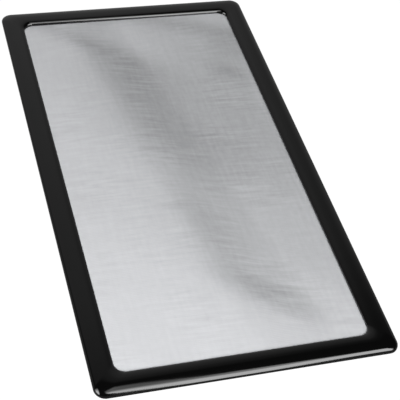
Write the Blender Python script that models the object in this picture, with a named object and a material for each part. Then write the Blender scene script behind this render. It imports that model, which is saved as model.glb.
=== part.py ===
"""Dust filter for two 120 mm fans set side by side.

A moulded black frame grips a woven mesh in a groove, and four strips of flexible magnet sit in
channels in its flat back. Metres, +Z up. The filter lies on its back with its long side along Y,
and the origin is the centre of the back face.
"""

import math

import bmesh
import bpy

# The frame seen from the front
FRAME_LENGTH = 0.260
FRAME_WIDTH = 0.140
BAND_WIDTH = 0.011
OUTER_CORNER_RADIUS = 0.0053
OPENING_CORNER_RADIUS = 0.0052

# The frame's section: a low dome, higher at its crown than at its two walls
FRAME_HEIGHT = 0.003
OUTER_WALL_HEIGHT = 0.0006
BACK_EDGE_CHAMFER = 0.0002
CROWN_FROM_OUTER_EDGE = 0.0062
OUTER_DOME_SQUARENESS = 2.4
INNER_DOME_SQUARENESS = 3.0
BACK_LIP_THICKNESS = 0.00035
WALL_ABOVE_GROOVE = 0.00022

# The mesh, and the groove that grips its edge
MESH_WALL = 0.0002
THREAD_RIDGE_HEIGHT = 0.0001
THREAD_RIDGE_PITCH = 0.002
MESH_GRIP_DEPTH = 0.0019
MESH_EDGE_CLEARANCE = 0.0003
MESH_FACE_CLEARANCE = 0.00015

# The magnet strips, and the channels that hold them
MAGNET_STRIP_WIDTH = 0.005
MAGNET_STRIP_THICKNESS = 0.0015
MAGNET_STRIP_EDGE = 0.00015
MAGNET_CLEARANCE = 0.00015
MAGNET_END_CLEARANCE = 0.0003
WEB_BETWEEN_CHANNEL_AND_GROOVE = 0.0008
CHANNEL_END_TO_OPENING_CORNER = 0.001

# How finely round shapes are divided
CORNER_STEPS = 12
OUTER_DOME_STEPS = 12
INNER_DOME_STEPS = 10
STEPS_PER_THREAD_RIDGE = 4

# Sizes that follow from those above
MESH_THICKNESS = MESH_WALL + 2 * THREAD_RIDGE_HEIGHT
GROOVE_HEIGHT = MESH_THICKNESS + 2 * MESH_FACE_CLEARANCE
GROOVE_DEPTH = MESH_GRIP_DEPTH + MESH_EDGE_CLEARANCE
GROOVE_ROOF = BACK_LIP_THICKNESS + GROOVE_HEIGHT
MESH_MIDDLE = BACK_LIP_THICKNESS + GROOVE_HEIGHT / 2
CHANNEL_WIDTH = MAGNET_STRIP_WIDTH + 2 * MAGNET_CLEARANCE
CHANNEL_DEPTH = MAGNET_STRIP_THICKNESS + MAGNET_CLEARANCE
CHANNEL_FROM_OUTER_EDGE = (
    BAND_WIDTH - GROOVE_DEPTH - WEB_BETWEEN_CHANNEL_AND_GROOVE - CHANNEL_WIDTH / 2
)

# Each magnet strip: its name, and the side of the frame that it lies along, as a step in X and Y
MAGNET_SIDES = {
    "magnet_left": (-1, 0),
    "magnet_right": (1, 0),
    "magnet_near": (0, -1),
    "magnet_far": (0, 1),
}

# A cutter runs this far past the face that it cuts through
CUTTER_OVERRUN = 0.001


def clear_scene():
    """Start from an empty scene."""
    for item in list(bpy.data.objects):
        bpy.data.objects.remove(item, do_unlink=True)


def make_material(name, colour, roughness, metallic=0.0):
    """Return a material with one surface shader."""
    material = bpy.data.materials.new(name)
    material.use_nodes = True
    shader = material.node_tree.nodes["Principled BSDF"]
    shader.inputs["Base Color"].default_value = (*colour, 1.0)
    shader.inputs["Roughness"].default_value = roughness
    shader.inputs["Metallic"].default_value = metallic
    return material


def object_from(bm, name, material=None):
    """Turn a bmesh into a named object with its faces pointing out."""
    bmesh.ops.recalc_face_normals(bm, faces=bm.faces)
    mesh = bpy.data.meshes.new(name)
    bm.to_mesh(mesh)
    bm.free()
    if material:
        mesh.materials.append(material)
    item = bpy.data.objects.new(name, mesh)
    bpy.context.scene.collection.objects.link(item)
    return item


def shade_round(item, sharp_angle):
    """Shade an object smooth, but keep its edges over the angle sharp."""
    item.data.shade_smooth()
    item.data.set_sharp_from_angle(angle=math.radians(sharp_angle))


def cut(item, cutter, operation):
    """Cut an object with another, which is then only a guide."""
    cutter.display_type = "WIRE"
    cutter.hide_render = True
    boolean = item.modifiers.new(cutter.name, "BOOLEAN")
    boolean.object = cutter
    boolean.operation = operation
    boolean.solver = "EXACT"


def block(name, size, centre, material=None):
    """Return a rectangular block."""
    bm = bmesh.new()
    bmesh.ops.create_cube(bm, size=1.0)
    bmesh.ops.scale(bm, vec=size, verts=bm.verts)
    item = object_from(bm, name, material)
    item.location = centre
    return item


def rounded_rectangle(inset, radius):
    """Return the points, in X and Y, of the frame's outline moved in by an inset."""
    centre_x = FRAME_WIDTH / 2 - inset - radius
    centre_y = FRAME_LENGTH / 2 - inset - radius
    points = []
    for quarter, (side_x, side_y) in enumerate(((1, 1), (-1, 1), (-1, -1), (1, -1))):
        for step in range(CORNER_STEPS + 1):
            angle = math.pi / 2 * (quarter + step / CORNER_STEPS)
            x = side_x * centre_x + radius * math.cos(angle)
            y = side_y * centre_y + radius * math.sin(angle)
            points.append((x, y))
    return points


def corner_radius(inset):
    """Return the corner's radius, which eases from the outer edge's to the opening's."""
    return OUTER_CORNER_RADIUS + (OPENING_CORNER_RADIUS - OUTER_CORNER_RADIUS) * inset / BAND_WIDTH


def dome_quarter(wall_inset, wall_height, squareness, steps):
    """Return one side of the dome, as inset and height, from the top of a wall to the crown.

    It is a quarter of a superellipse, squarer than an ellipse, which has a squareness of 2. It
    leaves the wall upright and arrives at the crown level.
    """
    across = wall_inset - CROWN_FROM_OUTER_EDGE
    rise = FRAME_HEIGHT - wall_height
    power = 2 / squareness
    points = []
    for step in range(steps + 1):
        angle = math.pi / 2 * step / steps
        inset = CROWN_FROM_OUTER_EDGE + across * max(math.cos(angle), 0.0) ** power
        points.append((inset, wall_height + rise * math.sin(angle) ** power))
    return points


def frame_section():
    """Return the frame's section, as inset from its outer edge and height, once round."""
    outer_side = dome_quarter(0.0, OUTER_WALL_HEIGHT, OUTER_DOME_SQUARENESS, OUTER_DOME_STEPS)
    inner_wall_top = GROOVE_ROOF + WALL_ABOVE_GROOVE
    inner_side = dome_quarter(BAND_WIDTH, inner_wall_top, INNER_DOME_SQUARENESS, INNER_DOME_STEPS)
    groove_root = BAND_WIDTH - GROOVE_DEPTH
    back_and_outer_wall = [(BACK_EDGE_CHAMFER, 0.0), (0.0, BACK_EDGE_CHAMFER)]
    groove_and_lip = [
        (BAND_WIDTH, GROOVE_ROOF),
        (groove_root, GROOVE_ROOF),
        (groove_root, BACK_LIP_THICKNESS),
        (BAND_WIDTH, BACK_LIP_THICKNESS),
        (BAND_WIDTH, 0.0),
    ]
    return back_and_outer_wall + outer_side + inner_side[-2::-1] + groove_and_lip


def make_frame(material):
    """Make the frame: a ring for each point of its section, skinned from ring to ring."""
    bm = bmesh.new()
    rings = []
    for inset, height in frame_section():
        outline = rounded_rectangle(inset, corner_radius(inset))
        rings.append([bm.verts.new((x, y, height)) for x, y in outline])
    for ring, next_ring in zip(rings, rings[1:] + rings[:1]):
        for i in range(len(ring)):
            j = (i + 1) % len(ring)
            bm.faces.new((ring[i], ring[j], next_ring[j], next_ring[i]))
    frame = object_from(bm, "frame", material)
    shade_round(frame, 40)
    return frame


def strip_box(side, clearance, end_clearance):
    """Return the length and width, and the centre, in X and Y, of a strip or its channel."""
    side_x, side_y = side
    end_setback = BAND_WIDTH + CHANNEL_END_TO_OPENING_CORNER
    across = CHANNEL_WIDTH - 2 * clearance
    if side_x:
        size = (across, FRAME_LENGTH - 2 * end_setback - 2 * end_clearance)
    else:
        size = (FRAME_WIDTH - 2 * end_setback - 2 * end_clearance, across)
    centre = (
        side_x * (FRAME_WIDTH / 2 - CHANNEL_FROM_OUTER_EDGE),
        side_y * (FRAME_LENGTH / 2 - CHANNEL_FROM_OUTER_EDGE),
    )
    return size, centre


def cut_channel(frame, name, side):
    """Cut the channel for one magnet strip into the frame's back."""
    size, centre = strip_box(side, 0.0, 0.0)
    height = CHANNEL_DEPTH + CUTTER_OVERRUN
    middle = CHANNEL_DEPTH - height / 2
    cutter = block(name + "_channel", (*size, height), (*centre, middle))
    cut(frame, cutter, "DIFFERENCE")


def make_magnet(name, side, material):
    """Make one magnet strip, flush with the frame's back."""
    size, centre = strip_box(side, MAGNET_CLEARANCE, MAGNET_END_CLEARANCE)
    middle = MAGNET_STRIP_THICKNESS / 2
    magnet = block(name, (*size, MAGNET_STRIP_THICKNESS), (*centre, middle), material)
    bevel = magnet.modifiers.new("cut edges", "BEVEL")
    bevel.width = MAGNET_STRIP_EDGE
    bevel.segments = 1
    return magnet


def ridged_profile(length):
    """Return the places along a length, and the height at each, of a row of half-round threads."""
    ridges = max(1, round(length / THREAD_RIDGE_PITCH))
    steps = ridges * STEPS_PER_THREAD_RIDGE
    points = []
    for step in range(steps + 1):
        part_way = step % STEPS_PER_THREAD_RIDGE / STEPS_PER_THREAD_RIDGE
        ridge = THREAD_RIDGE_HEIGHT * math.sin(math.pi * part_way)
        points.append((length * (step / steps - 0.5), ridge))
    return points


def make_mesh(material):
    """Make the mesh: one thin wall, with threads across its front and threads along its back.

    The real threads are about half a millimetre apart, with openings far too fine to cut.
    Each ridge stands for four of them.
    """
    edge_inset = BAND_WIDTH - MESH_GRIP_DEPTH
    half_x = FRAME_WIDTH / 2 - edge_inset + CUTTER_OVERRUN
    half_y = FRAME_LENGTH / 2 - edge_inset + CUTTER_OVERRUN
    front = MESH_MIDDLE + MESH_WALL / 2
    back = MESH_MIDDLE - MESH_WALL / 2

    bm = bmesh.new()
    front_rows = [
        (bm.verts.new((-half_x, y, front + ridge)), bm.verts.new((half_x, y, front + ridge)))
        for y, ridge in ridged_profile(2 * half_y)
    ]
    back_rows = [
        (bm.verts.new((x, -half_y, back - ridge)), bm.verts.new((x, half_y, back - ridge)))
        for x, ridge in ridged_profile(2 * half_x)
    ]
    for rows in (front_rows, back_rows):
        for row, next_row in zip(rows, rows[1:]):
            bm.faces.new((row[0], row[1], next_row[1], next_row[0]))
    for end in (0, 1):
        side_wall = [row[end] for row in front_rows]
        side_wall += [back_rows[-end][1], back_rows[-end][0]]
        bm.faces.new(side_wall)
        end_wall = [row[end] for row in back_rows]
        end_wall += [front_rows[-end][1], front_rows[-end][0]]
        bm.faces.new(end_wall)
    mesh = object_from(bm, "mesh", material)
    cut(mesh, mesh_outline_cutter(edge_inset), "INTERSECT")
    return mesh


def mesh_outline_cutter(edge_inset):
    """Return the block, with rounded corners, that trims the mesh to its cut size."""
    bm = bmesh.new()
    outline = rounded_rectangle(edge_inset, corner_radius(edge_inset))
    foot = MESH_MIDDLE - MESH_THICKNESS / 2 - CUTTER_OVERRUN
    rise = MESH_THICKNESS + 2 * CUTTER_OVERRUN
    face = bm.faces.new([bm.verts.new((x, y, foot)) for x, y in outline])
    top = bmesh.ops.extrude_face_region(bm, geom=[face])
    moved = [item for item in top["geom"] if isinstance(item, bmesh.types.BMVert)]
    bmesh.ops.translate(bm, vec=(0.0, 0.0, rise), verts=moved)
    return object_from(bm, "mesh_outline")


def main():
    clear_scene()
    black_pvc = make_material("moulded black PVC", (0.010, 0.010, 0.011), 0.28)
    woven_mesh = make_material("woven grey filter mesh", (0.42, 0.43, 0.44), 0.45)
    magnet_rubber = make_material("ferrite magnet rubber", (0.030, 0.027, 0.025), 0.75)

    frame = make_frame(black_pvc)
    make_mesh(woven_mesh)
    for name, side in MAGNET_SIDES.items():
        cut_channel(frame, name, side)
        make_magnet(name, side, magnet_rubber)


main()
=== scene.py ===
import math

import bmesh
import bpy
from mathutils import Matrix, Vector


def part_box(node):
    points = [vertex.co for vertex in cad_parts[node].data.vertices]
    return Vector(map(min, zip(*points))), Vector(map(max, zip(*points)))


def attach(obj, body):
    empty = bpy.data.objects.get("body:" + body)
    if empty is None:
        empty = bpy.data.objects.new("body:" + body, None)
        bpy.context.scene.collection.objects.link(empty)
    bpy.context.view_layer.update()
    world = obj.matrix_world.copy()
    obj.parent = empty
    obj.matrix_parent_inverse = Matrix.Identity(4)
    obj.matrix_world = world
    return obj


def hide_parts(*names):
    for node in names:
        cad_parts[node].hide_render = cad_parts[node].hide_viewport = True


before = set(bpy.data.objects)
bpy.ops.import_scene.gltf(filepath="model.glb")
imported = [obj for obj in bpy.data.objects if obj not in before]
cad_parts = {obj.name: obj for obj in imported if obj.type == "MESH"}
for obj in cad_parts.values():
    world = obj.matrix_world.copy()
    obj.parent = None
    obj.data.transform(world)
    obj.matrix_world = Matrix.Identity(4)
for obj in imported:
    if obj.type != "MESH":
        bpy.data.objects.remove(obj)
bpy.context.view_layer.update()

# The look of a dust filter for two 120 mm fans: a glossy black moulded frame, a silver-grey woven
# mesh stretched across it, and dull magnet strips in its back. Metres, in the CAD model's frame.

# The camera, found from the frame's outline in the photograph: degrees for its roll, and
# millimetres for its lens and sensor
CAMERA_PLACE = (-0.149028, -0.392483, 0.407816)
CAMERA_AIM = (0.00464, -0.02452, 0.0)
CAMERA_ROLL = 10.09
CAMERA_LENS = 104.05
CAMERA_SENSOR = 36.0
CAMERA_NEAREST = 0.01

# The frame seen from the front, as in the CAD source
FRAME_LENGTH = 0.260
FRAME_WIDTH = 0.140
BAND_WIDTH = 0.011
OUTER_CORNER_RADIUS = 0.0053
OPENING_CORNER_RADIUS = 0.0052

# The frame's section, as in the CAD source
FRAME_HEIGHT = 0.003
OUTER_WALL_HEIGHT = 0.0006
BACK_EDGE_CHAMFER = 0.0002
CROWN_FROM_OUTER_EDGE = 0.0062
OUTER_DOME_SQUARENESS = 2.4
INNER_DOME_SQUARENESS = 3.0
BACK_LIP_THICKNESS = 0.00035
WALL_ABOVE_GROOVE = 0.00022

# The mesh and the groove that grips it, as in the CAD source
MESH_WALL = 0.0002
MESH_THICKNESS = 0.0004
MESH_GRIP_DEPTH = 0.0019
MESH_EDGE_CLEARANCE = 0.0003
MESH_FACE_CLEARANCE = 0.00015
GROOVE_DEPTH = MESH_GRIP_DEPTH + MESH_EDGE_CLEARANCE
GROOVE_HEIGHT = MESH_THICKNESS + 2 * MESH_FACE_CLEARANCE
GROOVE_ROOF = BACK_LIP_THICKNESS + GROOVE_HEIGHT
MESH_MIDDLE = BACK_LIP_THICKNESS + GROOVE_HEIGHT / 2
MESH_WIDTH = FRAME_WIDTH - 2 * (BAND_WIDTH - MESH_GRIP_DEPTH)
MESH_LENGTH = FRAME_LENGTH - 2 * (BAND_WIDTH - MESH_GRIP_DEPTH)

# The magnet strips and their channels in the frame's back, as in the CAD source
MAGNETS = ("magnet_left", "magnet_right", "magnet_near", "magnet_far")
MAGNET_STRIP_THICKNESS = 0.0015
MAGNET_CLEARANCE = 0.00015
MAGNET_END_CLEARANCE = 0.0003
CHANNEL_DEPTH = MAGNET_STRIP_THICKNESS + MAGNET_CLEARANCE
CUTTER_OVERRUN = 0.001

# How finely the frame's round shapes are divided here, and the degrees from which an edge is sharp
CORNER_STEPS = 24
STRAIGHT_STEPS = 40
DOME_STEPS = 28
SHARP_ANGLE = 40

# The woven mesh. Its real threads are about 0.5 mm apart, too fine to show, so it has a row of weft
# threads each millimetre
MESH_CORNER_RADIUS = 0.0052
WEFT_PITCH = 0.001
WEFT_RELIEF = 0.00002
STEPS_PER_WEFT = 4
MESH_COLUMNS = 40

# How far the weft runs from straight: its bow from side to side, its lean towards the corners, its
# wander, in waves for each metre, and its drop past a fold that runs up the middle of the mesh
WEFT_BOW = 0.0008
WEFT_LEAN = 0.005
EVEN_LEAN = 0.45
LEAN_NEAR_ENDS = 0.75
WEFT_WANDER = 0.0015
WANDER_WAVES = 30.0
WANDER_SEED = 3.0
WEFT_DROP = 0.007
DROP_SLANT = 0.2
DROP_START = -0.015
DROP_END = 0.022

# Where the mesh has slack, it lies in soft low folds, and the material darkens it there, which is
# painted shade: each fold's centre, the angle of its length from +X in degrees, half its length and
# half its width in millimetres, and how strong it is. They were fitted to the shade of the mesh in
# the photograph, and most of that shade is painted by the material, because the folds themselves
# are low
FOLDS = (
    (-28, 102, -40, 44, 6.5, 0.19),
    (-3, 68, -45, 31, 16, 0.18),
    (42, -70, -38, 90, 30, 0.17),
    (4, -47, -76, 34, 11, 0.13),
    (20, -88, -42, 28, 8, 0.24),
    (49, 28, -70, 90, 24, 0.25),
    (55, 87, -55, 17, 13, 0.23),
    (48, 65, -40, 13, 7, 0.18),
    (65, 98, -20, 90, 7, 0.18),
    (8, 19, -56, 58, 24, 0.33),
)

# How high a fold of strength 1 would stand, and the powers by which the frame's grip flattens it
# towards the mesh's sides and ends
FOLD_HEIGHT = 0.0008
FLAT_SIDES_POWER = 6.0
FLAT_ENDS_POWER = 12.0

# Points of the sheet that are nearer than this are one, and no length is divided by less than this
MERGE_DISTANCE = 0.000001
LEAST_LENGTH = 0.0000001

# The studio, as the frame's gloss mirrors it. X, Y and Z are those of a direction, so each is from
# -1 to 1, and a tilt is in degrees from overhead towards the near side. Each slope is given as
# where it starts and ends, and its value at its start and its end

# The soft box over the near side: a bright core in a dimmer halo. These are tilts along X
HALO_START_LEFT = (-0.04, 0.17, -9.0, -21.0)
HALO_START_STEP = (0.20, 0.25, -21.0, -5.0)
HALO_START_RIGHT = (0.25, 0.39, 0.0, 9.0)
CORE_START = (0.20, 0.28, -6.0, 6.0)
CORE_FULL_LEFT = (0.20, 0.28, 17.0, 22.0)
CORE_FULL_RIGHT = (0.30, 0.38, 22.0, 9.0)
START_RISE_RIGHT = (0.55, 0.80, 0.0, 22.0)
BOX_END_LEFT = (-0.06, 0.17, 13.0, 27.0)
BOX_END_STEP = (0.17, 0.24, 0.0, 53.0)
BOX_END_RIGHT = (0.31, 0.37, 80.0, 49.0)
BOX_END_RIGHT_TIP = (0.45, 0.70, 0.0, -8.0)
HALO_FADE = 6.0
BOX_END_FADE = 7.0

# The same soft box's strengths along X, and its two sides
HALO_STRENGTH_LEFT = (0.165, 0.19, 2.0, 1.4)
HALO_STRENGTH_RIGHT = (0.19, 0.33, 1.4, 4.3)
CORE_STRENGTH = 9.8
BOX_LEFT_SIDE = (-0.14, 0.0, 0.0, 1.0)
BOX_RIGHT_SIDE = (0.62, 0.78, 1.0, 0.0)

# A soft box on the left, whose edge leans: its edge is in X and a little of the tilt, its strength
# falls along Y, and its foot is in Z
LEFT_BOX_LEAN = 0.0065
LEFT_BOX_EDGE = (-0.55, -0.48, 1.0, 0.0)
LEFT_BOX_STRENGTH = (0.05, 0.32, 10.5, 0.0)
LEFT_BOX_FOOT = (0.38, 0.52, 0.06, 1.0)

# The grey wall behind the filter: its top edge and its lighter foot in Y, and its shares in X
WALL_TOP_EDGE = (0.46, 0.62, 0.0, 0.30)
WALL_LOWER_PART = (0.62, 0.92, 0.0, 0.22)
WALL_LEFT_END = (-0.70, -0.50, 0.15, 1.05)
WALL_MIDDLE = (0.20, 0.40, 1.0, 0.72)
WALL_RIGHT_END = (0.45, 0.65, 0.0, 0.2)

# The rest of the room in Z: dim low down and nearly black above, and what its floor gives
ROOM_DIM = (0.30, 0.45, 0.27, 0.03)
ROOM_FLOOR = (0.30, 0.05, 0.0, 0.12)

# The soft light over the near end, in metres and watts
NEAR_LIGHT_PLACE = (-0.12, -0.52, 0.52)
NEAR_LIGHT_AIM = (0.0, -0.03, 0.0)
NEAR_LIGHT_SIZE = 0.4
NEAR_LIGHT_POWER = 17.6

# The floor lies just under the filter's back, reaches this far each way, and glows nearly white
FLOOR_GAP = 0.00005
FLOOR_REACH = 4.0
FLOOR_GLOW = 0.98

# Kinds of node that have long names and are used often, and the colour sockets of a Mix node
MATH = "ShaderNodeMath"
RANGE = "ShaderNodeMapRange"
VECTOR = "ShaderNodeVectorMath"
NOISE = "ShaderNodeTexNoise"
MIX_FIRST = 6
MIX_SECOND = 7
MIX_RESULT = 2


def linear(hex_colour):
    """Turn an sRGB hex colour, such as 1A1B1C, into the linear colour that a shader takes."""
    channels = []
    for start in (0, 2, 4):
        value = int(hex_colour[start:start + 2], 16) / 255
        if value <= 0.04045:
            channels.append(value / 12.92)
        else:
            channels.append(((value + 0.055) / 1.055) ** 2.4)
    return (*channels, 1.0)


def add(tree, kind, *values, inputs=None, **settings):
    """Add a node with its settings, and a link or a value for each input, in order or by name.

    A node that is given as a value stands for its first output.
    """
    node = tree.nodes.new(kind)
    for name, setting in settings.items():
        setattr(node, name, setting)
    for key, value in (*enumerate(values), *(inputs or {}).items()):
        if isinstance(value, bpy.types.Node):
            value = value.outputs[0]
        if isinstance(value, bpy.types.NodeSocket):
            tree.links.new(value, node.inputs[key])
        else:
            node.inputs[key].default_value = value
    return node


def new_material(name):
    """Return an empty material, and its tree."""
    material = bpy.data.materials.new(name)
    material.use_nodes = True
    material.node_tree.nodes.clear()
    return material, material.node_tree


def link_object(name, data):
    """Put a new object with this data into the scene."""
    item = bpy.data.objects.new(name, data)
    bpy.context.scene.collection.objects.link(item)
    return item


def mesh_from(bm, name):
    """Turn a bmesh into a mesh with this name."""
    mesh = bpy.data.meshes.new(name)
    bm.to_mesh(mesh)
    bm.free()
    return mesh


def looking(place, aim):
    """Return the placement of a camera or a light at one point that faces another."""
    line = Vector(aim) - Vector(place)
    return Matrix.Translation(place) @ line.to_track_quat("-Z", "Y").to_matrix().to_4x4()


def make_camera():
    """Place the camera where the photograph was taken from."""
    data = bpy.data.cameras.new("camera")
    data.lens = CAMERA_LENS
    data.sensor_width = CAMERA_SENSOR
    data.sensor_fit = "HORIZONTAL"
    data.clip_start = CAMERA_NEAREST
    camera = link_object("camera", data)
    roll = Matrix.Rotation(math.radians(CAMERA_ROLL), 4, "Z")
    camera.matrix_world = looking(CAMERA_PLACE, CAMERA_AIM) @ roll
    bpy.context.scene.camera = camera
    bpy.context.scene.view_settings.view_transform = "Standard"


def near_soft_box(tree, x, tilt):
    """Return the light of the soft box over the near side: a bright core in a dimmer halo."""
    rise = add(tree, RANGE, x, *START_RISE_RIGHT)

    start_left = add(tree, RANGE, x, *HALO_START_LEFT)
    start_step = add(tree, RANGE, x, *HALO_START_STEP)
    start_slope = add(tree, RANGE, x, *HALO_START_RIGHT)
    start_right = add(tree, MATH, start_step, start_slope, operation="ADD")
    start_outer = add(tree, MATH, start_left, start_right, operation="MAXIMUM")
    halo_start = add(tree, MATH, start_outer, rise, operation="ADD")
    halo_full = add(tree, MATH, halo_start, HALO_FADE, operation="ADD")
    strength_left = add(tree, RANGE, x, *HALO_STRENGTH_LEFT)
    strength_right = add(tree, RANGE, x, *HALO_STRENGTH_RIGHT)
    halo_strength = add(tree, MATH, strength_left, strength_right, operation="MAXIMUM")
    halo = add(tree, RANGE, tilt, halo_start, halo_full, 0.0, halo_strength)

    core_start = add(tree, RANGE, x, *CORE_START)
    full_left = add(tree, RANGE, x, *CORE_FULL_LEFT)
    full_right = add(tree, RANGE, x, *CORE_FULL_RIGHT)
    full_inner = add(tree, MATH, full_left, full_right, operation="MINIMUM")
    core_full = add(tree, MATH, full_inner, rise, operation="ADD")
    core = add(tree, RANGE, tilt, core_start, core_full, 0.0, CORE_STRENGTH)

    end_slope = add(tree, RANGE, x, *BOX_END_LEFT)
    end_step = add(tree, RANGE, x, *BOX_END_STEP)
    end_left = add(tree, MATH, end_slope, end_step, operation="ADD")
    end_fall = add(tree, RANGE, x, *BOX_END_RIGHT)
    end_tip = add(tree, RANGE, x, *BOX_END_RIGHT_TIP)
    end_right = add(tree, MATH, end_fall, end_tip, operation="ADD")
    box_end = add(tree, MATH, end_left, end_right, operation="MINIMUM")
    fade_start = add(tree, MATH, box_end, BOX_END_FADE, operation="SUBTRACT")
    lower_edge = add(tree, RANGE, tilt, fade_start, box_end, 1.0, 0.0)

    left_side = add(tree, RANGE, x, *BOX_LEFT_SIDE, interpolation_type="SMOOTHSTEP")
    right_side = add(tree, RANGE, x, *BOX_RIGHT_SIDE, interpolation_type="SMOOTHSTEP")
    brighter = add(tree, MATH, halo, core, operation="MAXIMUM")
    trimmed_below = add(tree, MATH, brighter, lower_edge, operation="MULTIPLY")
    trimmed_left = add(tree, MATH, trimmed_below, left_side, operation="MULTIPLY")
    return add(tree, MATH, trimmed_left, right_side, operation="MULTIPLY")


def left_soft_box(tree, x, y, z, tilt):
    """Return the light of the soft box on the left, which shows only in the near left corner."""
    leaning = add(tree, MATH, tilt, LEFT_BOX_LEAN, x, operation="MULTIPLY_ADD")
    edge = add(tree, RANGE, leaning, *LEFT_BOX_EDGE)
    strength = add(tree, RANGE, y, *LEFT_BOX_STRENGTH)
    foot = add(tree, RANGE, z, *LEFT_BOX_FOOT, interpolation_type="SMOOTHSTEP")
    light = add(tree, MATH, edge, strength, operation="MULTIPLY")
    return add(tree, MATH, light, foot, operation="MULTIPLY")


def bare_room(tree, x, y, z):
    """Return the light of the room: grey behind the filter, dim low down, nearly black above."""
    top_edge = add(tree, RANGE, y, *WALL_TOP_EDGE, interpolation_type="SMOOTHSTEP")
    lower_part = add(tree, RANGE, y, *WALL_LOWER_PART)
    wall = add(tree, MATH, top_edge, lower_part, operation="ADD")
    left_end = add(tree, RANGE, x, *WALL_LEFT_END, interpolation_type="SMOOTHSTEP")
    middle = add(tree, RANGE, x, *WALL_MIDDLE)
    right_end = add(tree, RANGE, x, *WALL_RIGHT_END)
    rest = add(tree, MATH, middle, right_end, operation="ADD")
    darker_left = add(tree, MATH, wall, left_end, operation="MULTIPLY")
    behind = add(tree, MATH, darker_left, rest, operation="MULTIPLY")
    dim = add(tree, RANGE, z, *ROOM_DIM, interpolation_type="SMOOTHSTEP")
    floor = add(tree, RANGE, z, *ROOM_FLOOR, interpolation_type="SMOOTHSTEP")
    walls = add(tree, MATH, behind, dim, operation="MAXIMUM")
    return add(tree, MATH, walls, floor, operation="MAXIMUM")


def make_studio():
    """Light what is glossy with a world that is bright only where a soft box or a wall is.

    Each edge is where the frame's gloss shows it. The world doesn't light what is matt, which is
    left to the light over the near end, and the camera sees plain white in its place.
    """
    world = bpy.data.worlds.new("studio")
    bpy.context.scene.world = world
    world.use_nodes = True
    world.cycles_visibility.diffuse = False
    tree = world.node_tree
    tree.nodes.clear()
    direction = add(tree, "ShaderNodeTexCoord").outputs["Generated"]
    x, y, z = add(tree, "ShaderNodeSeparateXYZ", direction).outputs
    towards_near = add(tree, MATH, y, -1.0, operation="MULTIPLY")
    angle = add(tree, MATH, towards_near, z, operation="ARCTAN2")
    tilt = add(tree, MATH, angle, operation="DEGREES")
    near_box = near_soft_box(tree, x, tilt)
    left_box = left_soft_box(tree, x, y, z, tilt)
    boxes = add(tree, MATH, near_box, left_box, operation="ADD")
    total = add(tree, MATH, boxes, bare_room(tree, x, y, z), operation="ADD")
    seen = add(tree, "ShaderNodeLightPath").outputs["Is Camera Ray"]
    lit = add(tree, "ShaderNodeBackground", total)
    backdrop = add(tree, "ShaderNodeBackground", linear("FFFFFF"))
    mix = add(tree, "ShaderNodeMixShader", seen, lit, backdrop)
    add(tree, "ShaderNodeOutputWorld", mix)


def make_near_light():
    """Hang a soft light over the near end, which dims along the mesh towards the far end.

    It lights only what is matt, because the gloss already mirrors the studio.
    """
    data = bpy.data.lights.new("near_light", "AREA")
    data.shape = "SQUARE"
    data.size = NEAR_LIGHT_SIZE
    data.energy = NEAR_LIGHT_POWER
    light = link_object("near_light", data)
    light.matrix_world = looking(NEAR_LIGHT_PLACE, NEAR_LIGHT_AIM)
    light.visible_camera = False
    light.visible_glossy = False


def make_floor():
    """Lay a plain white floor, lit from itself, so that it is even all round the filter.

    The frame's gloss doesn't mirror it, because the studio has a floor of its own.
    """
    material, tree = new_material("matt white studio sweep")
    paint = add(tree, "ShaderNodeBsdfDiffuse", linear("303030"))
    glow = add(tree, "ShaderNodeEmission", linear("FFFFFF"), FLOOR_GLOW)
    both = add(tree, "ShaderNodeAddShader", paint, glow)
    add(tree, "ShaderNodeOutputMaterial", both)
    bm = bmesh.new()
    bmesh.ops.create_grid(bm, x_segments=1, y_segments=1, size=FLOOR_REACH)
    mesh = mesh_from(bm, "floor")
    mesh.materials.append(material)
    floor = link_object("floor", mesh)
    floor.location.z = -FLOOR_GAP
    floor.visible_glossy = False


def moulded_pvc():
    """Soft black PVC, injection moulded in a polished mould.

    It is black all through, so nearly all that the eye gets is its gloss: sharp soft-box
    reflections, which waver a little from one band's width to the next, where the thick section
    has shrunk. The mould's polish marks are too fine to show. They are drawn 0.4 mm across, and
    soften the reflections unevenly.
    """
    shrink_size = BAND_WIDTH
    shrink_depth = 0.00002
    polish_size = 0.0004
    polish_depth = 0.000004
    smoothest = 0.06
    dullest = 0.09
    material, tree = new_material("moulded black PVC")
    place = add(tree, "ShaderNodeTexCoord").outputs["Object"]
    shrink = add(tree, NOISE, inputs={"Vector": place, "Scale": 1 / shrink_size, "Detail": 1.0})
    polish = add(tree, NOISE, inputs={"Vector": place, "Scale": 1 / polish_size, "Detail": 2.0})
    rough = add(tree, RANGE, polish, 0.3, 0.7, smoothest, dullest)
    waver = add(
        tree, "ShaderNodeBump",
        inputs={"Strength": 1.0, "Distance": shrink_depth, "Height": shrink},
    )
    bump = add(
        tree, "ShaderNodeBump",
        inputs={"Strength": 0.4, "Distance": polish_depth, "Height": polish, "Normal": waver},
    )
    shader = add(
        tree, "ShaderNodeBsdfPrincipled",
        inputs={"Base Color": linear("020202"), "Roughness": rough, "IOR": 1.5, "Normal": bump},
    )
    add(tree, "ShaderNodeOutputMaterial", shader)
    return material


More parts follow.
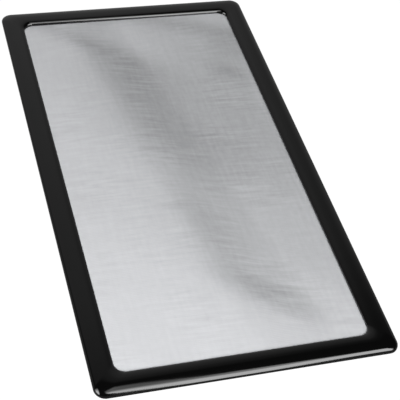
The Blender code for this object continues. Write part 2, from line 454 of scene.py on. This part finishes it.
def filter_mesh():
    """Grey polyester monofilament, plain woven and heat set.

    Its bright round threads spread the light across themselves in a silvery sheen. A half metallic
    finish, brushed along the weft, stands for that, although the mesh holds no metal, and a light
    grey for the threads and the white floor that shows between them. Threads that lie closer or
    looser make faint streaks along the weft, in patches, and bars along the warp, over a mottle.
    Real ones are a thread or two wide, too fine to show, so they are drawn about 2 mm wide. Where a
    fold lies, the grey is darker, which is painted shade, and the streaks are stronger.
    """
    streak_length = 0.020
    streak_width = 0.0021
    bar_length = 0.022
    bar_width = 0.0019
    mottle_size = 0.003
    patch_size = 0.031
    streak_depth = 0.24
    bar_depth = 0.09
    mottle_depth = 0.09
    calmest_patch = 0.25
    most_streaky_patch = 1.5
    flat_share = 0.65
    fold_share = 1.1
    material, tree = new_material("woven polyester monofilament")
    weave = add(tree, "ShaderNodeUVMap", uv_map="weave")
    weft = add(tree, "ShaderNodeTangent", direction_type="UV_MAP", uv_map="weave")
    # The folds' strength, which darkens the grey below as painted shade
    folds_and_painted_shade = add(tree, "ShaderNodeAttribute", attribute_name="folds_and_painted_shade").outputs["Fac"]

    along_weft = add(
        tree, "ShaderNodeMapping",
        inputs={"Vector": weave, "Scale": (1 / streak_length, 1 / streak_width, 1.0)},
    )
    streaks = add(
        tree, NOISE, noise_dimensions="2D",
        inputs={"Vector": along_weft, "Scale": 1.0, "Detail": 2.0, "Distortion": 0.2},
    )
    patches = add(
        tree, NOISE, noise_dimensions="2D",
        inputs={"Vector": weave, "Scale": 1 / patch_size, "Detail": 1.0},
    )
    patchy = add(tree, RANGE, patches, 0.35, 0.65, calmest_patch, most_streaky_patch)
    streaky = add(tree, MATH, streaks, streak_depth, -streak_depth / 2, operation="MULTIPLY_ADD")
    streaky = add(tree, MATH, streaky, patchy, operation="MULTIPLY")

    mottle = add(
        tree, NOISE, noise_dimensions="2D",
        inputs={"Vector": weave, "Scale": 1 / mottle_size, "Detail": 1.0},
    )
    mottled = add(tree, MATH, mottle, mottle_depth, -mottle_depth / 2, operation="MULTIPLY_ADD")

    along_warp = add(
        tree, "ShaderNodeMapping",
        inputs={"Vector": weave, "Scale": (1 / bar_width, 1 / bar_length, 1.0)},
    )
    bars = add(
        tree, NOISE, noise_dimensions="2D",
        inputs={"Vector": along_warp, "Scale": 1.0, "Detail": 1.0},
    )
    barred = add(tree, MATH, bars, bar_depth, -bar_depth / 2, operation="MULTIPLY_ADD")

    uneven = add(tree, MATH, streaky, mottled, operation="ADD")
    uneven = add(tree, MATH, uneven, barred, operation="ADD")
    share = add(tree, MATH, folds_and_painted_shade, fold_share, flat_share, operation="MULTIPLY_ADD")
    open_weave = add(tree, MATH, uneven, share, 1.0, operation="MULTIPLY_ADD")
    # Darker where the folds are: painted shade
    shade = add(tree, MATH, folds_and_painted_shade, -1.0, open_weave, operation="MULTIPLY_ADD")
    tint = add(
        tree, "ShaderNodeMix", data_type="RGBA", blend_type="MULTIPLY",
        inputs={"Factor": 1.0, MIX_FIRST: linear("A3A4A6"), MIX_SECOND: shade},
    ).outputs[MIX_RESULT]
    shader = add(
        tree, "ShaderNodeBsdfPrincipled",
        inputs={
            "Base Color": tint,
            "Metallic": 0.5,
            "Roughness": 0.27,
            "Anisotropic": 1.0,
            "Anisotropic Rotation": 0.25,
            "Tangent": weft,
        },
    )
    add(tree, "ShaderNodeOutputMaterial", shader)
    return material


def magnet_rubber():
    """Brown-black ferrite powder in rubber, rolled into a sheet and slit into strips.

    It is dull, and mottled with grains of powder. Those are too fine to show, so they are drawn
    about 1 mm across.
    """
    grain_size = 0.0011
    grain_depth = 0.00004
    material, tree = new_material("rolled ferrite rubber")
    place = add(tree, "ShaderNodeTexCoord").outputs["Object"]
    grain = add(tree, NOISE, inputs={"Vector": place, "Scale": 1 / grain_size, "Detail": 3.0})
    tint = add(
        tree, "ShaderNodeMix", data_type="RGBA",
        inputs={"Factor": grain, MIX_FIRST: linear("2A2623"), MIX_SECOND: linear("3A3632")},
    ).outputs[MIX_RESULT]
    bump = add(
        tree, "ShaderNodeBump",
        inputs={"Strength": 0.6, "Distance": grain_depth, "Height": grain},
    )
    shader = add(
        tree, "ShaderNodeBsdfPrincipled",
        inputs={"Base Color": tint, "Roughness": 0.78, "IOR": 1.5, "Normal": bump},
    )
    add(tree, "ShaderNodeOutputMaterial", shader)
    return material


def rounded_rectangle(inset, radius):
    """Return the points, in X and Y, of the frame's outline moved in by an inset."""
    centre_x = FRAME_WIDTH / 2 - inset - radius
    centre_y = FRAME_LENGTH / 2 - inset - radius
    sides = ((1, 1), (-1, 1), (-1, -1), (1, -1))
    points = []
    for quarter, (side_x, side_y) in enumerate(sides):
        centre = Vector((side_x * centre_x, side_y * centre_y))
        for step in range(CORNER_STEPS + 1):
            angle = math.pi / 2 * (quarter + step / CORNER_STEPS)
            points.append(centre + radius * Vector((math.cos(angle), math.sin(angle))))
        next_x, next_y = sides[(quarter + 1) % 4]
        angle = math.pi / 2 * (quarter + 1)
        goal = Vector((next_x * centre_x, next_y * centre_y))
        goal += radius * Vector((math.cos(angle), math.sin(angle)))
        start = points[-1]
        for step in range(1, STRAIGHT_STEPS):
            points.append(start.lerp(goal, step / STRAIGHT_STEPS))
    return points


def dome_quarter(wall_inset, wall_height, squareness):
    """Return one side of the dome, as inset and height, from the top of a wall to the crown."""
    across = wall_inset - CROWN_FROM_OUTER_EDGE
    rise = FRAME_HEIGHT - wall_height
    power = 2 / squareness
    points = []
    for step in range(DOME_STEPS + 1):
        angle = math.pi / 2 * step / DOME_STEPS
        inset = CROWN_FROM_OUTER_EDGE + across * max(math.cos(angle), 0.0) ** power
        points.append((inset, wall_height + rise * math.sin(angle) ** power))
    return points


def frame_section():
    """Return the band's section, as inset and height: up its outer wall, over, and down inside."""
    outer_side = dome_quarter(0.0, OUTER_WALL_HEIGHT, OUTER_DOME_SQUARENESS)
    inner_side = dome_quarter(BAND_WIDTH, GROOVE_ROOF + WALL_ABOVE_GROOVE, INNER_DOME_SQUARENESS)
    root = BAND_WIDTH - GROOVE_DEPTH
    start = [(BACK_EDGE_CHAMFER, 0.0), (0.0, BACK_EDGE_CHAMFER)]
    groove = [
        (BAND_WIDTH, GROOVE_ROOF),
        (root, GROOVE_ROOF),
        (root, BACK_LIP_THICKNESS),
        (BAND_WIDTH, BACK_LIP_THICKNESS),
        (BAND_WIDTH, 0.0),
    ]
    return start + outer_side + inner_side[-2::-1] + groove


def frame_ring():
    """Return the mesh of the frame before its channels: its section taken all round as one loft."""
    bm = bmesh.new()
    rings = []
    for inset, height in frame_section():
        part = inset / BAND_WIDTH
        radius = OUTER_CORNER_RADIUS + (OPENING_CORNER_RADIUS - OUTER_CORNER_RADIUS) * part
        outline = rounded_rectangle(inset, radius)
        rings.append([bm.verts.new((point.x, point.y, height)) for point in outline])
    for ring, next_ring in zip(rings, rings[1:] + rings[:1]):
        for i in range(len(ring)):
            j = (i + 1) % len(ring)
            bm.faces.new((ring[i], ring[j], next_ring[j], next_ring[i]))
    bmesh.ops.recalc_face_normals(bm, faces=bm.faces)
    return mesh_from(bm, "frame_moulding")


def channel_cutter(magnet):
    """Return a box that cuts a magnet strip's channel, with its clearances, up from below."""
    low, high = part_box(magnet)
    slack = Vector((MAGNET_CLEARANCE, MAGNET_CLEARANCE, 0.0))
    if high.x - low.x > high.y - low.y:
        slack.x = MAGNET_END_CLEARANCE
    else:
        slack.y = MAGNET_END_CLEARANCE
    low = low - slack
    high = high + slack
    low.z = -CUTTER_OVERRUN
    high.z = CHANNEL_DEPTH
    bm = bmesh.new()
    bmesh.ops.create_cube(bm, size=1.0)
    bmesh.ops.scale(bm, vec=high - low, verts=bm.verts)
    bmesh.ops.translate(bm, vec=(low + high) / 2, verts=bm.verts)
    return link_object("channel", mesh_from(bm, "channel"))


def evaluated_mesh(item):
    """Return a plain mesh of an object as its modifiers leave it."""
    graph = bpy.context.evaluated_depsgraph_get()
    return bpy.data.meshes.new_from_object(item.evaluated_get(graph))


def make_frame(material):
    """Make the moulded frame: the ring, with a channel in its back for each magnet strip."""
    mesh = frame_ring()
    mesh.materials.append(material)
    piece = link_object("frame_moulding", mesh)
    for magnet in MAGNETS:
        cutter = channel_cutter(magnet)
        boolean = piece.modifiers.new("channel", "BOOLEAN")
        boolean.object = cutter
        boolean.operation = "DIFFERENCE"
        boolean.solver = "EXACT"
        cut = evaluated_mesh(piece)
        piece.modifiers.clear()
        piece.data = cut
        bpy.data.objects.remove(cutter)
    piece.data.shade_smooth()
    piece.data.set_sharp_from_angle(angle=math.radians(SHARP_ANGLE))
    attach(piece, "root")
    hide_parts("frame")


def closed_sheet(tree, given):
    """Return a flat sheet in rows and columns, closed all round, with its back at height 0."""
    grid = add(
        tree, "GeometryNodeMeshGrid",
        given["Width"], given["Length"], given["Columns"], given["Rows"],
    )
    raised = add(
        tree, "GeometryNodeExtrudeMesh",
        inputs={
            "Mesh": grid,
            "Offset": (0.0, 0.0, 1.0),
            "Offset Scale": given["Wall"],
            "Individual": False,
        },
    )
    back = add(tree, "GeometryNodeFlipFaces", grid)
    joined = add(tree, "GeometryNodeJoinGeometry", raised)
    tree.links.new(back.outputs[0], joined.inputs[0])
    return add(
        tree, "GeometryNodeMergeByDistance",
        inputs={"Geometry": joined, "Distance": MERGE_DISTANCE},
    )


def round_corners(tree, given, flat, half_size):
    """Return each point's place, drawn in where it lies past one of the sheet's round corners."""
    radius = add(tree, "ShaderNodeCombineXYZ", given["Corner radius"], given["Corner radius"])
    straight = add(tree, VECTOR, half_size, radius, operation="SUBTRACT")
    from_middle = add(tree, VECTOR, flat, operation="ABSOLUTE")
    over = add(tree, VECTOR, from_middle, straight, operation="SUBTRACT")
    over = add(tree, VECTOR, over, (0.0, 0.0, 0.0), operation="MAXIMUM")
    over_x, over_y = add(tree, "ShaderNodeSeparateXYZ", over).outputs[:2]
    square_reach = add(tree, MATH, over_x, over_y, operation="MAXIMUM")
    reach = add(tree, VECTOR, over, operation="LENGTH").outputs["Value"]
    reach = add(tree, MATH, reach, LEAST_LENGTH, operation="MAXIMUM")
    kept = add(tree, MATH, square_reach, reach, operation="DIVIDE")
    kept = add(tree, MATH, kept, 1.0, operation="MINIMUM")
    lost = add(tree, MATH, 1.0, kept, operation="SUBTRACT")
    outwards = add(tree, VECTOR, flat, operation="SIGN")
    outwards = add(tree, VECTOR, outwards, over, operation="MULTIPLY")
    outwards = add(tree, VECTOR, outwards, lost, operation="MULTIPLY")
    return add(tree, VECTOR, flat, outwards, operation="SUBTRACT")


def folds_and_shade_field(tree, flat):
    """Return the folds' strength, which lifts the sheet and darkens it as painted shade: a soft
    oval bulge for each of them.
    """
    folds_and_painted_shade = 0.0
    for centre_x, centre_y, angle, half_length, half_width, strength in FOLDS:
        centre = (centre_x / 1000, centre_y / 1000, 0.0)
        reach = (half_length / 1000, half_width / 1000, 1.0)
        offset = add(tree, VECTOR, flat, centre, operation="SUBTRACT")
        turned = add(
            tree, "ShaderNodeVectorRotate", rotation_type="Z_AXIS",
            inputs={"Vector": offset, "Angle": -math.radians(angle)},
        )
        share = add(tree, VECTOR, turned, reach, operation="DIVIDE")
        squared = add(tree, VECTOR, share, share, operation="DOT_PRODUCT").outputs["Value"]
        fall = add(tree, MATH, squared, -1.0, operation="MULTIPLY")
        bulge = add(tree, MATH, fall, operation="EXPONENT")
        folds_and_painted_shade = add(tree, MATH, bulge, strength, folds_and_painted_shade, operation="MULTIPLY_ADD")
    return folds_and_painted_shade


def weft_place(tree, given, place, x, y, part_x, part_y):
    """Return where each point lies across the weft threads, which aren't quite straight."""
    part_y_squared = add(tree, MATH, part_y, part_y, operation="MULTIPLY")
    steepness = add(tree, MATH, part_y_squared, LEAN_NEAR_ENDS, EVEN_LEAN, operation="MULTIPLY_ADD")
    lean = add(tree, MATH, steepness, part_y, operation="MULTIPLY")
    lean = add(tree, MATH, lean, part_x, operation="MULTIPLY")
    lean = add(tree, MATH, lean, given["Weft lean"], operation="MULTIPLY")

    bow = add(tree, MATH, part_x, part_x, operation="MULTIPLY")
    bow = add(tree, MATH, bow, given["Weft bow"], operation="MULTIPLY")

    waves = add(
        tree, NOISE, noise_dimensions="4D",
        inputs={"Vector": place, "W": given["Seed"], "Scale": WANDER_WAVES, "Detail": 1.0},
    )
    wander = add(tree, MATH, waves, 0.5, operation="SUBTRACT")
    wander = add(tree, MATH, wander, given["Weft wander"], operation="MULTIPLY")

    slanting = add(tree, MATH, y, DROP_SLANT, x, operation="MULTIPLY_ADD")
    drop = add(tree, RANGE, slanting, DROP_START, DROP_END, interpolation_type="SMOOTHSTEP")
    drop = add(tree, MATH, drop, given["Weft drop"], operation="MULTIPLY")

    weft_y = add(tree, MATH, y, lean, operation="SUBTRACT")
    weft_y = add(tree, MATH, weft_y, wander, operation="SUBTRACT")
    weft_y = add(tree, MATH, weft_y, bow, operation="ADD")
    return add(tree, MATH, weft_y, drop, operation="ADD")


def fold_sag(tree, given, folds_and_painted_shade, part_x, part_y):
    """Return how high the folds lift the sheet, which is flat where the frame grips it."""
    near_side = add(tree, MATH, part_x, operation="ABSOLUTE")
    near_side = add(tree, MATH, near_side, FLAT_SIDES_POWER, operation="POWER")
    free_across = add(tree, MATH, 1.0, near_side, operation="SUBTRACT")
    near_end = add(tree, MATH, part_y, operation="ABSOLUTE")
    near_end = add(tree, MATH, near_end, FLAT_ENDS_POWER, operation="POWER")
    free_along = add(tree, MATH, 1.0, near_end, operation="SUBTRACT")
    free = add(tree, MATH, free_across, free_along, operation="MULTIPLY")
    lift = add(tree, MATH, free, given["Fold height"], operation="MULTIPLY")
    return add(tree, MATH, folds_and_painted_shade, lift, operation="MULTIPLY")


def weave_tree(sizes):
    """Build the tree that weaves the mesh: a closed sheet with a row of weft threads on each face.

    Each of its inputs is a size of the mesh, a count, the seed of its wander, or its material.
    """
    tree = bpy.data.node_groups.new("weave a sheet", "GeometryNodeTree")
    kinds = {
        float: "NodeSocketFloat",
        int: "NodeSocketInt",
        bpy.types.Material: "NodeSocketMaterial",
    }
    for name, value in sizes.items():
        tree.interface.new_socket(name, in_out="INPUT", socket_type=kinds[type(value)])
    tree.interface.new_socket("Geometry", in_out="OUTPUT", socket_type="NodeSocketGeometry")
    given = add(tree, "NodeGroupInput").outputs
    closed = closed_sheet(tree, given)

    place = add(tree, "GeometryNodeInputPosition")
    x, y, z = add(tree, "ShaderNodeSeparateXYZ", place).outputs
    flat = add(tree, "ShaderNodeCombineXYZ", x, y)
    half_size = add(tree, "ShaderNodeCombineXYZ", given["Width"], given["Length"])
    half_size = add(tree, VECTOR, half_size, (0.5, 0.5, 0.5), operation="MULTIPLY")
    part = add(tree, VECTOR, flat, half_size, operation="DIVIDE")
    part_x, part_y = add(tree, "ShaderNodeSeparateXYZ", part).outputs[:2]
    folds_and_painted_shade = folds_and_shade_field(tree, flat)
    weft_y = weft_place(tree, given, place, x, y, part_x, part_y)

    # The two faces' threads rise from the sheet's middle, which the folds lift
    turns = add(tree, MATH, weft_y, given["Weft pitch"], operation="DIVIDE")
    turns = add(tree, MATH, turns, 2 * math.pi, operation="MULTIPLY")
    thread = add(tree, MATH, turns, operation="COSINE")
    half_wall = add(tree, MATH, given["Wall"], 0.5, operation="MULTIPLY")
    rise = add(tree, MATH, thread, given["Weft relief"], half_wall, operation="MULTIPLY_ADD")
    face = add(tree, MATH, z, half_wall, operation="SUBTRACT")
    face = add(tree, MATH, face, operation="SIGN")
    sag = fold_sag(tree, given, folds_and_painted_shade, part_x, part_y)
    middle = add(tree, MATH, given["Middle height"], sag, operation="ADD")
    height = add(tree, MATH, face, rise, middle, operation="MULTIPLY_ADD")
    rounded = round_corners(tree, given, flat, half_size)
    lifted = add(tree, "ShaderNodeCombineXYZ", 0.0, 0.0, height)
    target = add(tree, VECTOR, rounded, lifted, operation="ADD")

    # The material reads the folds' strength, which it paints as shade, and the weave's own
    # coordinates along the weft and across it
    marked = add(
        tree, "GeometryNodeStoreNamedAttribute", data_type="FLOAT", domain="POINT",
        inputs={"Geometry": closed, "Name": "folds_and_painted_shade", "Value": folds_and_painted_shade},
    )
    weave = add(tree, "ShaderNodeCombineXYZ", x, weft_y)
    mapped = add(
        tree, "GeometryNodeStoreNamedAttribute", data_type="FLOAT2", domain="CORNER",
        inputs={"Geometry": marked, "Name": "weave", "Value": weave},
    )

    moved = add(tree, "GeometryNodeSetPosition", inputs={"Geometry": mapped, "Position": target})
    smooth = add(tree, "GeometryNodeSetShadeSmooth", moved)
    real = add(tree, "GeometryNodeRealizeInstances", smooth)
    painted = add(
        tree, "GeometryNodeSetMaterial",
        inputs={"Geometry": real, "Material": given["Material"]},
    )
    add(tree, "NodeGroupOutput", painted)
    return tree


def make_mesh(material):
    """Weave the mesh, whose edge lies in the frame's groove."""
    sizes = {
        "Width": MESH_WIDTH,
        "Length": MESH_LENGTH,
        "Corner radius": MESH_CORNER_RADIUS,
        "Middle height": MESH_MIDDLE,
        "Wall": MESH_WALL,
        "Weft pitch": WEFT_PITCH,
        "Weft relief": WEFT_RELIEF,
        "Weft bow": WEFT_BOW,
        "Weft lean": WEFT_LEAN,
        "Weft wander": WEFT_WANDER,
        "Weft drop": WEFT_DROP,
        "Fold height": FOLD_HEIGHT,
        "Columns": MESH_COLUMNS + 1,
        "Rows": round(MESH_LENGTH / WEFT_PITCH) * STEPS_PER_WEFT + 1,
        "Seed": WANDER_SEED,
        "Material": material,
    }
    tree = weave_tree(sizes)
    piece = link_object("woven_mesh", bpy.data.meshes.new("woven_mesh"))
    modifier = piece.modifiers.new("weave", "NODES")
    modifier.node_group = tree
    for socket in tree.interface.items_tree:
        if socket.in_out == "INPUT":
            modifier[socket.identifier] = sizes[socket.name]
    woven = evaluated_mesh(piece)
    piece.modifiers.clear()
    piece.data = woven
    woven.set_sharp_from_angle(angle=math.radians(SHARP_ANGLE))
    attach(piece, "root")
    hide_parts("mesh")


def finish_magnets(material):
    """Give the CAD model's magnet strips their finish."""
    for magnet in MAGNETS:
        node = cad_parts[magnet]
        node.data.materials.clear()
        node.data.materials.append(material)


make_camera()
make_studio()
make_near_light()
make_floor()
make_frame(moulded_pvc())
make_mesh(filter_mesh())
finish_magnets(magnet_rubber())
